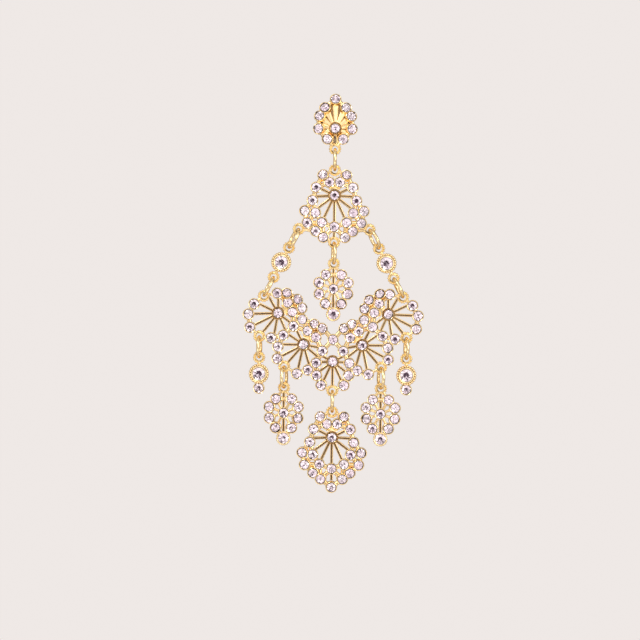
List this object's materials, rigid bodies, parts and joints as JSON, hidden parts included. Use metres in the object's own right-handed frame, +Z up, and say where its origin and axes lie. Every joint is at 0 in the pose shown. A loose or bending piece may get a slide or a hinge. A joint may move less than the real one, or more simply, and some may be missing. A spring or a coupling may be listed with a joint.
{
  "type": "chandelier earring",
  "caption": "Gilt chandelier earring: ear stud, openwork shield, crescent of fans and small drops on jump rings, all paved with clear crystals in round cups.",
  "frame": {"origin": "on the ear post's axis, in the plane of the stud's back, where it rests on the ear lobe", "axes": "+Y along the ear post and into the ear, so the paved front faces -Y; +Z up, the earring hanging down from the stud; +X to the viewer's right"},
  "size_m": [0.0318, 0.0137, 0.07],
  "materials": {
    "gilt_casting": "bright pale gold plate, polished, soft in the recesses",
    "gilt_wire": "bright yellow-gold plated wire, polished",
    "crystal": "clear faceted crystal with a mirrored back"
  },
  "bodies": {
    "stud": {"ear_stud": "gilt_casting"},
    "top_ring": {"stud_ring": "gilt_wire"},
    "main_drop": {"upper_plate": "gilt_casting", "inner_drop_ring": "gilt_wire", "inner_drop": "gilt_casting", "crescent": "gilt_casting", "link_ring_upper_right": "gilt_wire", "link_right": "gilt_casting", "link_ring_lower_right": "gilt_wire", "bud_ring_right": "gilt_wire", "bud_drop_right": "gilt_casting", "leaf_ring_right": "gilt_wire", "leaf_drop_right": "gilt_casting", "link_ring_upper_left": "gilt_wire", "link_left": "gilt_casting", "link_ring_lower_left": "gilt_wire", "bud_ring_left": "gilt_wire", "bud_drop_left": "gilt_casting", "leaf_ring_left": "gilt_wire", "leaf_drop_left": "gilt_casting"},
    "pendant": {"pendant_ring": "gilt_wire", "pendant": "gilt_casting"}
  },
  "joints": [
    {"name": "drop_sway", "type": "hinge", "parent": "stud", "child": "top_ring", "pos_m": [0, -0.0006, -0.00364], "axis": [0, 1, 0], "range_deg": [-30, 30]},
    {"name": "drop_swing", "type": "hinge", "parent": "top_ring", "child": "main_drop", "pos_m": [0, -0.0006, -0.0065], "axis": [1, 0, 0], "range_deg": [-45, 45]},
    {"name": "pendant_swing", "type": "hinge", "parent": "main_drop", "child": "pendant", "pos_m": [0, -0.0006, -0.0466], "axis": [1, 0, 0], "range_deg": [-40, 40]}
  ]
}
